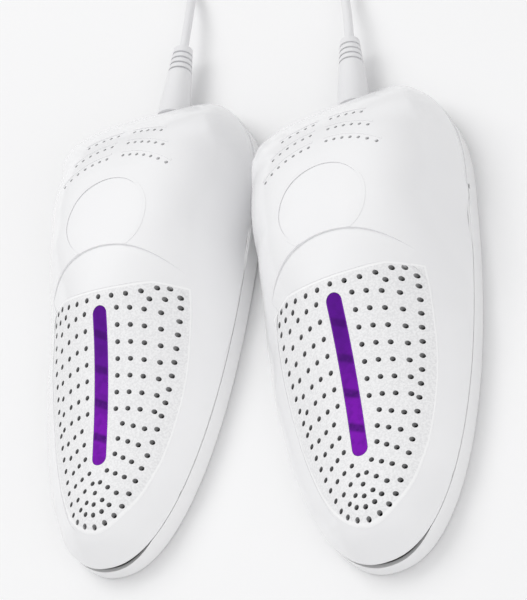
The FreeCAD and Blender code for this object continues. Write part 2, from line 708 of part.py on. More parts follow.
def unit_pieces():
    """Every piece of one unit, in the unit's own frame."""
    span_x, span_y = (-44.0, 44.0), (-121.0, 71.0)
    skin = height_face(skin_height, span_x, span_y, 2.4)
    lining = height_face(inner_height, span_x, span_y, 2.4)
    return {
        "upper_shell": upper_shell(skin, lining),
        "lower_shell": lower_shell(),
        "light_lens": light_lens(skin),
        "led_board": led_board(),
        "uv_leds": uv_leds(),
        "led_resistors": led_resistors(),
        "board_screws": board_screws(),
        "heat_plate": heat_plate().cut(plate_slots()),
        "ptc_heater": ptc_heater(),
        "heat_shield": heat_shield(),
        "heater_clip": heater_clip(),
        "heater_screws": heater_screws(),
        "thermal_cutout": thermal_cutout(),
        "strain_relief": strain_relief(),
        "cord_clamp": cord_clamp(),
        "clamp_screws": clamp_screws(),
        "case_screws": case_screws(),
        "lamp_wires": lamp_wires(),
        "heater_wires": heater_wires(),
    }


# ---- the pair, its leads and its plug --------------------------------------------------------------
UNIT_TURN = 4.35         # each unit is splayed by this angle, heels together
UNIT_PLACES = {"left": (-39.3, 22.4, -UNIT_TURN), "right": (39.3, 0.4, UNIT_TURN)}

SPLITTER_Y = 300.0
SPLITTER_LENGTH = 26.0
SPLITTER_Z = 3.5

COIL_CENTRE = Vector(-18.0, 352.0, 5.2)
COIL_RADIUS = 18.0
COIL_BUNDLE = 5.2
TIE_WIDTH = 7.0
TIE_THICKNESS = 0.9

PLUG_X = -50.0
PLUG_Y = 338.0           # where the lead enters the plug
PLUG_Z = 7.0
PLUG_PINS_X = (-9.5, 9.5)
GRIP_COUNT = 4           # cross grooves for the fingers on both broad faces
GRIP_PITCH = 2.6
GRIP_WIDTH = 1.2
GRIP_DEPTH = 0.5

# points of each lead's route where it isn't coiled
LEFT_ROUTE = (
    (-33.6, 114.2, 8.3), (-32.5, 129.5, 7.8), (-34.4, 147.0, 3.2), (-46.0, 170.0, 1.6),
    (-70.0, 190.0, 1.6), (-76.0, 222.0, 1.6), (-57.0, 250.0, 1.6), (-27.0, 251.0, 1.6),
    (-8.0, 272.5, 1.6), (-4.2, 300.0, 3.5),
)
RIGHT_ROUTE = (
    (33.6, 92.2, 8.3), (32.7, 104.2, 8.1), (29.0, 120.5, 5.2), (34.0, 145.0, 1.6),
    (56.0, 169.0, 1.6), (74.0, 196.0, 1.6), (72.0, 230.0, 1.6), (50.0, 254.0, 1.6),
    (24.0, 262.0, 1.6), (7.5, 279.0, 1.6), (4.2, 300.0, 3.5),
)
MAINS_ROUTE = ((0.0, 326.0, 3.5), (0.3, 334.5, 3.1), (0.6, 344.0, 2.4), (-0.3, 353.5, 2.2))
TAIL_ROUTE = (
    (-18.0, 370.0, 5.2), (-30.0, 371.0, 5.6), (-42.5, 366.5, 6.2), (-49.4, 355.0, 6.8),
    (-50.0, 346.0, 7.0), (-50.0, 338.0, 7.0),
)


def placed(shape, side):
    """Set one of a unit's pieces down in its place in the pair."""
    x, y, turn = UNIT_PLACES[side]
    turned = shape.rotated(Vector(0, WIDEST_Y, 0), Z_UP, turn)
    return turned.translated(Vector(x, y, 0))


def cord_tube(name, route):
    """Tube along a cord's route, with a report of its bends and of its volume."""
    points = [Vector(*p) for p in route]
    tube = bent_wire(points, CORD_RADIUS)
    radii = []
    length = 0.0
    spent = 0.0
    for before, corner, after in zip(points, points[1:], points[2:]):
        half_turn = (corner - before).getAngle(after - corner) / 2
        cut = 0.45 * min((corner - before).Length, (after - corner).Length)
        radius = cut / math.tan(half_turn)
        radii.append(round(radius, 1))
        length += (corner - before).Length - spent - cut + radius * 2 * half_turn
        spent = cut
    length += (points[-1] - points[-2]).Length - spent
    section = math.pi * CORD_RADIUS**2
    print(f"{name}: length {length:.1f}, volume over section x length "
          f"{tube.Volume / (section * length):.4f}, radii {radii}")
    return tube


def cord_splitter():
    """Moulded fork where the two short leads join the mains lead."""
    y0, y1 = SPLITTER_Y, SPLITTER_Y + SPLITTER_LENGTH
    plan = [
        Vector(-7.5, y0, 0), Vector(7.5, y0, 0), Vector(7.5, y0 + 12, 0), Vector(4.0, y1, 0),
        Vector(-4.0, y1, 0), Vector(-7.5, y0 + 12, 0),
    ]
    body = Part.Face(Part.makePolygon(plan + plan[:1])).extrude(Vector(0, 0, 2 * SPLITTER_Z))
    body = body.makeFillet(1.4, body.Edges)
    return body


def lead_coil():
    """Outer shape of the mains lead's neat round coil."""
    return Part.makeTorus(COIL_RADIUS, COIL_BUNDLE, COIL_CENTRE)


def coil_tie():
    """Soft strap round the coil's bundle, open where the bundle rests on the floor."""
    middle = COIL_CENTRE + Vector(0, -COIL_RADIUS, 0)
    start = middle - Vector(TIE_WIDTH / 2, 0, 0)
    ring = Part.makeCylinder(COIL_BUNDLE + TIE_THICKNESS, TIE_WIDTH, start, Vector(1, 0, 0))
    hole = Part.makeCylinder(COIL_BUNDLE - 1.0, TIE_WIDTH, start, Vector(1, 0, 0))
    opening = box(-60, 20, 300, 400, -20.0, 0.6)
    return ring.cut([hole, opening, lead_coil()])


def plug_body():
    """Flat two-pin plug body lying on its side: a waisted, rounded block."""
    y1 = PLUG_Y
    plan = [
        Vector(-11.0, y1 - 35, 0), Vector(11.0, y1 - 35, 0), Vector(11.0, y1 - 27, 0),
        Vector(8.2, y1 - 14, 0), Vector(4.6, y1, 0), Vector(-4.6, y1, 0), Vector(-8.2, y1 - 14, 0),
        Vector(-11.0, y1 - 27, 0),
    ]
    body = Part.Face(Part.makePolygon(plan + plan[:1])).extrude(Vector(0, 0, 2 * PLUG_Z))
    body = body.makeFillet(2.4, body.Edges)
    body = body.translated(Vector(PLUG_X, 0, 0))
    sockets = [pin_rod(x, 2.0, -9.0, 8.0) for x in PLUG_PINS_X]
    grips = []
    for k in range(GRIP_COUNT):
        y = y1 - 9.0 - GRIP_PITCH * k
        bar = box(PLUG_X - 20, PLUG_X + 20, y - GRIP_WIDTH, y, 2 * PLUG_Z - GRIP_DEPTH, 2 * PLUG_Z + 1)
        grips += [bar, bar.translated(Vector(0, 0, -2 * PLUG_Z - 1 + GRIP_DEPTH))]
    return body.cut(sockets + grips)


def pin_rod(x, radius, start, length):
    """Round bar along y for one pin; start is measured from the plug's front face towards its tip."""
    front = PLUG_Y - 35
    base = Vector(PLUG_X + x * 0.75, front - start, PLUG_Z)
    return Part.makeCylinder(radius, length, base, Vector(0, -1, 0))


def plug_pins():
    """Two bare round pins."""
    pins = []
    for x in PLUG_PINS_X:
        pin = pin_rod(x, 2.0, -8.0, 27.0)
        pins.append(pin.makeFillet(0.8, [e for e in pin.Edges if e.BoundBox.YMax < PLUG_Y - 53.5]))
    return group(pins)


def build_pair():
    """Every node of the pair by name."""
    nodes = {}
    for name, shape in unit_pieces().items():
        for side in UNIT_PLACES:
            nodes[f"{side}_{name}"] = placed(shape, side)
    nodes["left_lead"] = cord_tube("left_lead", LEFT_ROUTE)
    nodes["right_lead"] = cord_tube("right_lead", RIGHT_ROUTE)
    nodes["cord_splitter"] = cord_splitter()
    nodes["lead_coil"] = lead_coil()
    nodes["mains_lead"] = cord_tube("mains_lead", MAINS_ROUTE).cut(lead_coil())
    nodes["plug_tail"] = cord_tube("plug_tail", TAIL_ROUTE).cut(lead_coil())
    nodes["coil_tie"] = coil_tie()
    nodes["plug_body"] = plug_body()
    nodes["plug_pins"] = plug_pins()
    return nodes


os.makedirs("parts", exist_ok=True)
for node, shape in build_pair().items():
    extent = shape.BoundBox
    print(f"{node}: valid {shape.isValid()}, solids {len(shape.Solids)}, volume {shape.Volume:.0f}, "
          f"x {extent.XMin:.1f} {extent.XMax:.1f}, y {extent.YMin:.1f} {extent.YMax:.1f}, "
          f"z {extent.ZMin:.2f} {extent.ZMax:.1f}")
    shape.exportStep(f"parts/{node}.step")
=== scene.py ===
"""Looks of a pair of boot dryers on one forked lead.

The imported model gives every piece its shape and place.  This script gives each piece its finish, lays
the leads as real cords, winds the spare lead into its coil, and sets up the floor, lights and camera.
"""

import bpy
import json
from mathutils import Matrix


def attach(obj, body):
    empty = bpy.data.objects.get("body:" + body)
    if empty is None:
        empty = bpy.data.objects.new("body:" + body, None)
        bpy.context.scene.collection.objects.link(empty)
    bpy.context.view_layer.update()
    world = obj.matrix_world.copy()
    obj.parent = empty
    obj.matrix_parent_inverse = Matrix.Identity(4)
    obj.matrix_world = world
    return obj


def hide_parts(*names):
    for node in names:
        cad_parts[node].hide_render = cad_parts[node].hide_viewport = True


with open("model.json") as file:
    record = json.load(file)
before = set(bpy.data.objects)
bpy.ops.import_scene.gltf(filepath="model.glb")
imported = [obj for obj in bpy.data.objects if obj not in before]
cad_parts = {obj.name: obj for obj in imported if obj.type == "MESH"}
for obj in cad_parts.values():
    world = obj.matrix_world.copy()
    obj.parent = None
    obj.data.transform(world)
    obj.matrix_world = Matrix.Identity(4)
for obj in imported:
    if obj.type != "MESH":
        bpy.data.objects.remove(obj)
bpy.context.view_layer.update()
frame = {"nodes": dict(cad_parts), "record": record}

import json
import logging
import math
from dataclasses import dataclass, field
from enum import Enum

import bpy
import numpy as np
from mathutils import Matrix, Vector

LOG = logging.getLogger("boot_dryer")
MM = 0.001
CORD_RADIUS = 1.6 * MM
TONE_SCALE = 22.0              # drifts of tone a metre

# one dryer in its own frame, y towards the heel
UNIT_TURN = math.radians(4.35)
WIDEST_Y = 17.4 * MM
HALF_WIDTH = 37.7 * MM
TOE_LENGTH = 132.4 * MM        # from the widest point to the toe
HEEL_LENGTH = 47.6 * MM        # from the widest point to the heel
OUTLINE_POWER = 2.25
FLOOR_TOP = 1.2 * MM           # the base's own faces above this height are inside it
TOE_GAP_Y = -90 * MM           # the gap between the halves lies toe-side of this station

# the perforated zone: a half superellipse under a shallow crown
ZONE_HALF_WIDTH = 26.9 * MM
ZONE_MIDDLE_Y = -38 * MM
ZONE_LENGTH = 70 * MM
ZONE_POWER_ALONG = 1.8
ZONE_POWER_ACROSS = 1.975
CROWN_Y = -27.0 * MM
CROWN_RISE = 2.6 * MM
CROWN_HALF_WIDTH = 17 * MM


class Side(Enum):
    """The two dryers of the pair."""

    LEFT = "left"
    RIGHT = "right"


# ---- node helpers ----------------------------------------------------------------------------------
@dataclass
class Board:
    """A node tree with short ways to add and join nodes."""

    tree: bpy.types.NodeTree

    def add(self, kind: str, **settings: object) -> bpy.types.Node:
        """Add a node and set its properties.

        Args:
            kind: The node's type name.
            settings: Properties of the node by name.

        Returns:
            The new node.
        """
        node = self.tree.nodes.new(kind)
        for name, value in settings.items():
            setattr(node, name, value)
        return node

    def join(self, source: bpy.types.NodeSocket, target: bpy.types.NodeSocket) -> None:
        """Link one socket to another.

        Args:
            source: The output socket.
            target: The input socket.
        """
        self.tree.links.new(source, target)

    def math(self, operation: str, first: object, second: object = None) -> bpy.types.NodeSocket:
        """Add a Math node.

        Args:
            operation: The node's operation.
            first: A number or a socket.
            second: A number, a socket or nothing.

        Returns:
            The result's socket.
        """
        node = self.add("ShaderNodeMath", operation=operation)
        for socket, value in zip(node.inputs, (first, second)):
            if isinstance(value, bpy.types.NodeSocket):
                self.join(value, socket)
            elif value is not None:
                socket.default_value = value
        return node.outputs[0]

    def spread(self, value: bpy.types.NodeSocket, low: float, high: float,
               to_low: float, to_high: float) -> bpy.types.NodeSocket:
        """Map a value from one range to another with a smooth step.

        Args:
            value: The socket that varies.
            low: Value that gives to_low.
            high: Value that gives to_high.
            to_low: Result at low.
            to_high: Result at high.

        Returns:
            The result's socket.
        """
        node = self.add("ShaderNodeMapRange", interpolation_type="SMOOTHSTEP")
        self.join(value, node.inputs["Value"])
        for name, number in (("From Min", low), ("From Max", high), ("To Min", to_low), ("To Max", to_high)):
            node.inputs[name].default_value = number
        return node.outputs["Result"]

    def noise(self, where: bpy.types.NodeSocket, scale: float, detail: float = 2.0) -> bpy.types.NodeSocket:
        """Add a noise texture.

        Args:
            where: The coordinates' socket.
            scale: Grains a metre.
            detail: Octaves of finer noise.

        Returns:
            The noise's value.
        """
        node = self.add("ShaderNodeTexNoise")
        self.join(where, node.inputs["Vector"])
        node.inputs["Scale"].default_value = scale
        node.inputs["Detail"].default_value = detail
        return node.outputs["Fac"]

    def mix(self, share: bpy.types.NodeSocket, first: tuple, second: tuple) -> bpy.types.NodeSocket:
        """Mix two colours.

        Args:
            share: Share of the second colour, from 0 to 1.
            first: A colour or a socket.
            second: A colour or a socket.

        Returns:
            The mixed colour's socket.
        """
        node = self.add("ShaderNodeMix", data_type="RGBA")
        self.join(share, node.inputs["Factor"])
        for name, colour in (("A", first), ("B", second)):
            socket = [s for s in node.inputs if s.name == name and s.type == "RGBA"][0]
            if isinstance(colour, bpy.types.NodeSocket):
                self.join(colour, socket)
            else:
                socket.default_value = (*colour, 1.0)
        return [s for s in node.outputs if s.type == "RGBA"][0]


def new_group(name: str, inputs: dict[str, str], outputs: dict[str, str]) -> tuple:
    """Start a shader node group.

    Args:
        name: Name of the group.
        inputs: Socket type of each input by name.
        outputs: Socket type of each output by name.

    Returns:
        The board of the group, its input node and its output node.
    """
    tree = bpy.data.node_groups.new(name, "ShaderNodeTree")
    for label, kind in inputs.items():
        tree.interface.new_socket(name=label, in_out="INPUT", socket_type=kind)
    for label, kind in outputs.items():
        tree.interface.new_socket(name=label, in_out="OUTPUT", socket_type=kind)
    board = Board(tree)
    return board, board.add("NodeGroupInput"), board.add("NodeGroupOutput")


def tone_group() -> bpy.types.NodeTree:
    """Slow drift of tone in a moulded part: the colour shifts a little over its flow length.

    Returns:
        The group.
    """
    board, ins, outs = new_group(
        "moulded_tone",
        {"Colour": "NodeSocketColor", "Shade": "NodeSocketColor", "Scale": "NodeSocketFloat"},
        {"Colour": "NodeSocketColor"},
    )
    where = board.add("ShaderNodeTexCoord").outputs["Object"]
    noise = board.add("ShaderNodeTexNoise")
    board.join(where, noise.inputs["Vector"])
    board.join(ins.outputs["Scale"], noise.inputs["Scale"])
    noise.inputs["Detail"].default_value = 3.0
    share = board.spread(noise.outputs["Fac"], 0.35, 0.7, 0.0, 1.0)
    board.join(board.mix(share, ins.outputs["Colour"], ins.outputs["Shade"]), outs.inputs["Colour"])
    return board.tree


def grain_group() -> bpy.types.NodeTree:
    """Fine surface grain: a height for a bump and a roughness that follows it.

    Returns:
        The group.
    """
    board, ins, outs = new_group(
        "surface_grain",
        {"Scale": "NodeSocketFloat", "Rough Low": "NodeSocketFloat", "Rough High": "NodeSocketFloat"},
        {"Height": "NodeSocketFloat", "Roughness": "NodeSocketFloat"},
    )
    where = board.add("ShaderNodeTexCoord").outputs["Object"]
    fine = board.add("ShaderNodeTexNoise")
    board.join(where, fine.inputs["Vector"])
    board.join(ins.outputs["Scale"], fine.inputs["Scale"])
    fine.inputs["Detail"].default_value = 4.0
    board.join(fine.outputs["Fac"], outs.inputs["Height"])
    wide = board.noise(where, 60.0, 3.0)
    both = board.math("ADD", board.math("MULTIPLY", fine.outputs["Fac"], 0.5),
                      board.math("MULTIPLY", wide, 0.5))
    node = board.add("ShaderNodeMapRange")
    board.join(both, node.inputs["Value"])
    node.inputs["From Min"].default_value = 0.3
    node.inputs["From Max"].default_value = 0.7
    board.join(ins.outputs["Rough Low"], node.inputs["To Min"])
    board.join(ins.outputs["Rough High"], node.inputs["To Max"])
    board.join(node.outputs["Result"], outs.inputs["Roughness"])
    return board.tree


def zone_group() -> bpy.types.NodeTree:
    """Perforated zone of one dryer in its own frame: 1 inside the shield-shaped outline and 0 outside.

    The sides and the tip are one superellipse, and the crown is a shallow arc across the top.  Core is the
    same shield drawn in a little, so that it leaves out the step round the zone, and Border is the thin band
    just inside the outline.

    Returns:
        The group.
    """
    board, ins, outs = new_group(
        "perforated_zone", {"Across": "NodeSocketFloat", "Along": "NodeSocketFloat"},
        {"Mask": "NodeSocketFloat", "Core": "NodeSocketFloat", "Border": "NodeSocketFloat"})
    across = board.math("ABSOLUTE", ins.outputs["Across"])
    reach = board.math("DIVIDE", board.math("SUBTRACT", ZONE_MIDDLE_Y, ins.outputs["Along"]), ZONE_LENGTH)
    reach = board.math("POWER", board.math("MAXIMUM", reach, 0.0), ZONE_POWER_ALONG)
    width = board.math("POWER", board.math("DIVIDE", across, ZONE_HALF_WIDTH), ZONE_POWER_ACROSS)
    share = board.math("ADD", reach, width)
    inside = board.spread(share, 0.975, 1.0, 1.0, 0.0)
    rise = board.math("POWER", board.math("DIVIDE", across, CROWN_HALF_WIDTH), 2.0)
    crown = board.math("ADD", board.math("MULTIPLY", board.math("MINIMUM", rise, 1.0), CROWN_RISE), CROWN_Y)
    past_crown = board.math("SUBTRACT", ins.outputs["Along"], crown)
    below = board.spread(past_crown, -0.3 * MM, 0.1 * MM, 1.0, 0.0)
    board.join(board.math("MULTIPLY", inside, below), outs.inputs["Mask"])
    core = board.spread(share, 0.935, 0.95, 1.0, 0.0)
    under = board.spread(past_crown, -1.0 * MM, -0.8 * MM, 1.0, 0.0)
    board.join(board.math("MULTIPLY", core, under), outs.inputs["Core"])
    edge = board.spread(share, 0.95, 0.965, 0.0, 1.0)
    top = board.spread(past_crown, -0.8 * MM, -0.6 * MM, 0.0, 1.0)
    band = board.math("MULTIPLY", board.math("MAXIMUM", edge, top), board.math("MULTIPLY", inside, below))
    board.join(band, outs.inputs["Border"])
    return board.tree


GROUPS: dict[str, bpy.types.NodeTree] = {}


def shared_group(name: str) -> bpy.types.NodeTree:
    """Fetch a shared node group, built the first time it is asked for.

    Args:
        name: tone, grain or zone.

    Returns:
        The group.
    """
    if name not in GROUPS:
        GROUPS[name] = {"tone": tone_group, "grain": grain_group, "zone": zone_group}[name]()
    return GROUPS[name]


@dataclass(frozen=True)
class Finish:
    """A moulded or plain finish with a drift of tone and a fine grain.

    Colours are linear, the grain's scale is in grains a metre and its depth in metres.
    """

    name: str
    colour: tuple[float, float, float]
    shade: tuple[float, float, float]
    rough: tuple[float, float] = (0.2, 0.3)
    grain: float = 2000.0
    depth: float = 0.00002
    metal: float = 0.0
    coat: float = 0.0

    def build(self) -> bpy.types.Material:
        """Make the material.

        Returns:
            The new material.
        """
        material = bpy.data.materials.new(self.name)
        material.use_nodes = True
        board = Board(material.node_tree)
        shader = material.node_tree.nodes["Principled BSDF"]
        shader.inputs["Metallic"].default_value = self.metal
        shader.inputs["Coat Weight"].default_value = self.coat
        shader.inputs["Coat Roughness"].default_value = 0.08
        self.tone(board, shader)
        self.grain_of(board, shader)
        return material

    def tone(self, board: Board, shader: bpy.types.Node) -> None:
        """Join the drift of tone to the shader's colour.

        Args:
            board: The material's board.
            shader: The material's shader.
        """
        board.join(self.drift(board), shader.inputs["Base Color"])

    def drift(self, board: Board) -> bpy.types.NodeSocket:
        """Add the drift of tone.

        Args:
            board: The material's board.

        Returns:
            The drifting colour's socket.
        """
        tone = board.add("ShaderNodeGroup", node_tree=shared_group("tone"))
        tone.inputs["Colour"].default_value = (*self.colour, 1.0)
        tone.inputs["Shade"].default_value = (*self.shade, 1.0)
        tone.inputs["Scale"].default_value = TONE_SCALE
        return tone.outputs["Colour"]

    def ground(self, board: Board, scale: float, rough: tuple[float, float]) -> bpy.types.Node:
        """Add a surface grain.

        Args:
            board: The material's board.
            scale: Grains a metre.
            rough: Lowest and highest roughness.

        Returns:
            The grain group's node.
        """
        grain = board.add("ShaderNodeGroup", node_tree=shared_group("grain"))
        grain.inputs["Scale"].default_value = scale
        grain.inputs["Rough Low"].default_value = rough[0]
        grain.inputs["Rough High"].default_value = rough[1]
        return grain

    def grain_of(self, board: Board, shader: bpy.types.Node) -> None:
        """Join the grain to the shader's roughness and normal.

        Args:
            board: The material's board.
            shader: The material's shader.
        """
        grain = self.ground(board, self.grain, self.rough)
        board.join(grain.outputs["Roughness"], shader.inputs["Roughness"])
        bump = board.add("ShaderNodeBump")
        bump.inputs["Distance"].default_value = self.depth
        board.join(grain.outputs["Height"], bump.inputs["Height"])
        board.join(bump.outputs["Normal"], shader.inputs["Normal"])


def unit_axes(board: Board, side: Side) -> dict[str, bpy.types.NodeSocket]:
    """Coordinates in one dryer's own frame: X across, Y along towards the heel, Z up.

    Args:
        board: The material's board.
        side: Which dryer.

    Returns:
        The three sockets by letter.
    """
    mount = next(m for m in frame["record"]["mounts"] if m["name"] == f"{side.value}_sole")
    turn = -UNIT_TURN if side is Side.LEFT else UNIT_TURN
    pivot = Vector((mount["pos_m"][0], mount["pos_m"][1] + WIDEST_Y, 0.0))
    back = Matrix.Rotation(-turn, 3, "Z")
    mapping = board.add("ShaderNodeMapping")
    mapping.inputs["Rotation"].default_value = (0.0, 0.0, -turn)
    mapping.inputs["Location"].default_value = Vector((0.0, WIDEST_Y, 0.0)) - back @ pivot
    board.join(board.add("ShaderNodeTexCoord").outputs["Object"], mapping.inputs["Vector"])
    parts = board.add("ShaderNodeSeparateXYZ")
    board.join(mapping.outputs["Vector"], parts.inputs["Vector"])
    return {letter: parts.outputs[letter] for letter in "XYZ"}


@dataclass(frozen=True)
class CaseFinish(Finish):
    """Glossy case: polished skin, spark-eroded texture in the perforated zone with a painted highlight along
    its border, and dull near-black painted shade inside the case and in its holes.
    """

    side: Side = Side.LEFT
    lower: bool = False
    speck_scale: float = 1500.0
    speck_dark: tuple[float, float, float] = (0.785, 0.785, 0.795)
    speck_light: tuple[float, float, float] = (0.875, 0.875, 0.882)
    # painted highlight: the thin band round the perforated zone is painted lighter than the skin, standing in
    # for light catching the zone's step
    border_highlight_colour: tuple[float, float, float] = (0.93, 0.93, 0.935)
    # painted shade: near-black colour for the case's inner faces, the toe gap's floor and, in part, the
    # holes' walls, standing in for the shade there
    painted_shade_colour: tuple[float, float, float] = (0.008, 0.008, 0.009)
    hole_shade_share: float = 0.62       # how far the holes' walls take the painted shade
    spark_scale: float = 2600.0
    spark_rough: tuple[float, float] = (0.42, 0.6)
    ripple_height: float = 0.05

    def build(self) -> bpy.types.Material:
        """Make the material.

        Returns:
            The new material.
        """
        material = bpy.data.materials.new(f"{self.name}_{self.side.value}_{'base' if self.lower else 'top'}")
        material.use_nodes = True
        board = Board(material.node_tree)
        shader = material.node_tree.nodes["Principled BSDF"]
        shader.inputs["Coat Roughness"].default_value = 0.06
        axes = unit_axes(board, self.side)
        zone = board.add("ShaderNodeGroup", node_tree=shared_group("zone"))
        board.join(axes["X"], zone.inputs["Across"])
        board.join(axes["Y"], zone.inputs["Along"])
        # painted shade: mask of the faces that take a near-black colour in place of the shade inside the case
        if self.lower:
            painted_shade = self.base_painted_shade(board, axes)
        else:
            painted_shade = self.top_painted_shade(board, zone.outputs["Core"])
        self.colour_of(board, shader, zone, painted_shade)
        self.surface_of(board, shader, zone.outputs["Mask"], painted_shade)
        return material

    def base_painted_shade(self, board: Board, axes: dict[str, bpy.types.NodeSocket]) -> bpy.types.NodeSocket:
        """Mask of painted shade in the base: its faces inside its wall and above its floor, and the floor of
        the toe gap, get a near-black colour in place of the shade inside the case.

        Args:
            board: The material's board.
            axes: Coordinates in the dryer's frame.

        Returns:
            1 where shade is painted and 0 outside.
        """
        across = board.math("DIVIDE", board.math("ABSOLUTE", axes["X"]), HALF_WIDTH)
        along = board.math("ABSOLUTE", board.math("SUBTRACT", axes["Y"], WIDEST_Y))
        behind = board.math("GREATER_THAN", axes["Y"], WIDEST_Y)
        less = board.math("MULTIPLY", behind, TOE_LENGTH - HEEL_LENGTH)
        length = board.math("SUBTRACT", TOE_LENGTH, less)
        share = board.math("ADD", board.math("POWER", across, OUTLINE_POWER),
                           board.math("POWER", board.math("DIVIDE", along, length), OUTLINE_POWER))
        # painted shade: faces inside the wall and, toe-side, the floor of the gap between the halves
        inner = board.spread(share, 0.94, 0.96, 1.0, 0.0)
        gap = board.spread(share, 0.972, 0.984, 1.0, 0.0)
        at_toe = board.math("LESS_THAN", axes["Y"], TOE_GAP_Y)
        inside = board.math("MAXIMUM", inner, board.math("MULTIPLY", gap, at_toe))
        return board.math("MULTIPLY", inside, board.math("GREATER_THAN", axes["Z"], FLOOR_TOP))

    def top_painted_shade(self, board: Board, core: bpy.types.NodeSocket) -> bpy.types.NodeSocket:
        """Mask of painted shade in the top: its downward faces and, less strongly, the steep walls of its
        holes get a near-black colour in place of the shade inside the case and the holes.

        Args:
            board: The material's board.
            core: 1 in the perforated zone, away from its border.

        Returns:
            1 where shade is painted in full, between 0 and 1 in the holes and 0 outside.
        """
        facing = board.add("ShaderNodeSeparateXYZ")
        board.join(board.add("ShaderNodeNewGeometry").outputs["Normal"], facing.inputs["Vector"])
        # painted shade: downward faces in full and the holes' steep walls in part
        down = board.spread(facing.outputs["Z"], -0.08, -0.02, 1.0, 0.0)
        steep = board.spread(facing.outputs["Z"], 0.2, 0.4, 1.0, 0.0)
        walls = board.math("MULTIPLY", board.math("MULTIPLY", steep, core), self.hole_shade_share)
        return board.math("MAXIMUM", down, walls)

    def colour_of(self, board: Board, shader: bpy.types.Node, zone: bpy.types.Node,
                  painted_shade: bpy.types.NodeSocket) -> None:
        """Join the colour: drifting white, a cooler speckled zone with a painted highlight along its border,
        near black painted shade inside.

        Args:
            board: The material's board.
            shader: The material's shader.
            zone: The zone group's node.
            painted_shade: 1 where shade is painted and 0 outside.
        """
        place = board.add("ShaderNodeTexCoord").outputs["Object"]
        speck = board.spread(board.noise(place, self.speck_scale, 3.0), 0.38, 0.62, 0.0, 1.0)
        speckled = board.mix(speck, self.speck_dark, self.speck_light)
        skin = board.mix(zone.outputs["Mask"], self.drift(board), speckled)
        # painted highlight: lighter colour along the zone's border band
        skin = board.mix(zone.outputs["Border"], skin, self.border_highlight_colour)
        # painted shade: near-black colour over the masked inner faces and hole walls
        board.join(board.mix(painted_shade, skin, self.painted_shade_colour), shader.inputs["Base Color"])

    def surface_of(self, board: Board, shader: bpy.types.Node, zone: bpy.types.NodeSocket,
                   painted_shade: bpy.types.NodeSocket) -> None:
        """Join roughness and normal: faint moulding ripple on the gloss, coarse spark grain in the zone.

        Args:
            board: The material's board.
            shader: The material's shader.
            zone: 1 in the perforated zone and 0 outside.
            painted_shade: 1 where shade is painted and 0 outside.
        """
        ripple = self.ground(board, self.grain, self.rough)
        spark = self.ground(board, self.spark_scale, self.spark_rough)
        dull = board.math("MAXIMUM", zone, painted_shade)
        rough = board.add("ShaderNodeMix", data_type="FLOAT")
        board.join(dull, rough.inputs[0])
        board.join(ripple.outputs["Roughness"], rough.inputs[2])
        board.join(spark.outputs["Roughness"], rough.inputs[3])
        board.join(rough.outputs[0], shader.inputs["Roughness"])
        height = board.math("ADD", board.math("MULTIPLY", ripple.outputs["Height"], self.ripple_height),
                            board.math("MULTIPLY", spark.outputs["Height"], zone))
        bump = board.add("ShaderNodeBump")
        bump.inputs["Distance"].default_value = self.depth
        board.join(height, bump.inputs["Height"])
        board.join(bump.outputs["Normal"], shader.inputs["Normal"])
        board.join(board.spread(dull, 0.0, 1.0, self.coat, 0.0), shader.inputs["Coat Weight"])


@dataclass(frozen=True)
class LensFinish(Finish):
    """Violet strip: deep at the heel end, brighter at the toe end, with soft dark bands over its ribs."""

    side: Side = Side.LEFT
    bright_y: float = -75 * MM
    deep_y: float = -42 * MM
    band_pitch: float = 11.4 * MM
    band_offset: float = 47.1 * MM
    band_slant: float = 0.45
    band_colour: tuple[float, float, float] = (0.062, 0.002, 0.16)
    streak_scale: float = 420.0
    edge_inner: float = 2.15 * MM
    edge_outer: float = 2.5 * MM
    edge_colour: tuple[float, float, float] = (0.24, 0.03, 0.5)
    specular: float = 0.12

    def build(self) -> bpy.types.Material:
        """Make the material.

        Returns:
            The new material.
        """
        material = bpy.data.materials.new(f"{self.name}_{self.side.value}")
        material.use_nodes = True
        board = Board(material.node_tree)
        shader = material.node_tree.nodes["Principled BSDF"]
        shader.inputs["Specular IOR Level"].default_value = self.specular
        axes = unit_axes(board, self.side)
        along = board.spread(axes["Y"], self.bright_y, self.deep_y, 0.0, 1.0)
        body = board.mix(along, self.colour, self.shade)
        body = board.mix(self.bands(board, axes), body, self.band_colour)
        rim = board.spread(board.math("ABSOLUTE", axes["X"]), self.edge_inner, self.edge_outer, 0.0, 0.8)
        board.join(board.mix(rim, body, self.edge_colour), shader.inputs["Base Color"])
        self.grain_of(board, shader)
        return material

    def bands(self, board: Board, axes: dict[str, bpy.types.NodeSocket]) -> bpy.types.NodeSocket:
        """Mask of the slanted dark bands and of a faint mottle between them.

        Args:
            board: The material's board.
            axes: Coordinates in the dryer's frame.

        Returns:
            1 where the strip is darkest.
        """
        slant = board.math("ADD", axes["Y"], board.math("MULTIPLY", axes["X"], self.band_slant))
        beat = board.math("DIVIDE", board.math("ADD", slant, self.band_offset), self.band_pitch)
        beat = board.math("SUBTRACT", board.math("FRACT", beat), 0.5)
        band = board.spread(board.math("ABSOLUTE", beat), 0.06, 0.17, 0.75, 0.0)
        place = board.add("ShaderNodeTexCoord").outputs["Object"]
        streak = board.noise(place, self.streak_scale, 3.0)
        mottle = board.math("MULTIPLY", board.spread(streak, 0.4, 0.65, 0.0, 1.0), 0.3)
        return board.math("MINIMUM", board.math("ADD", band, mottle), 1.0)


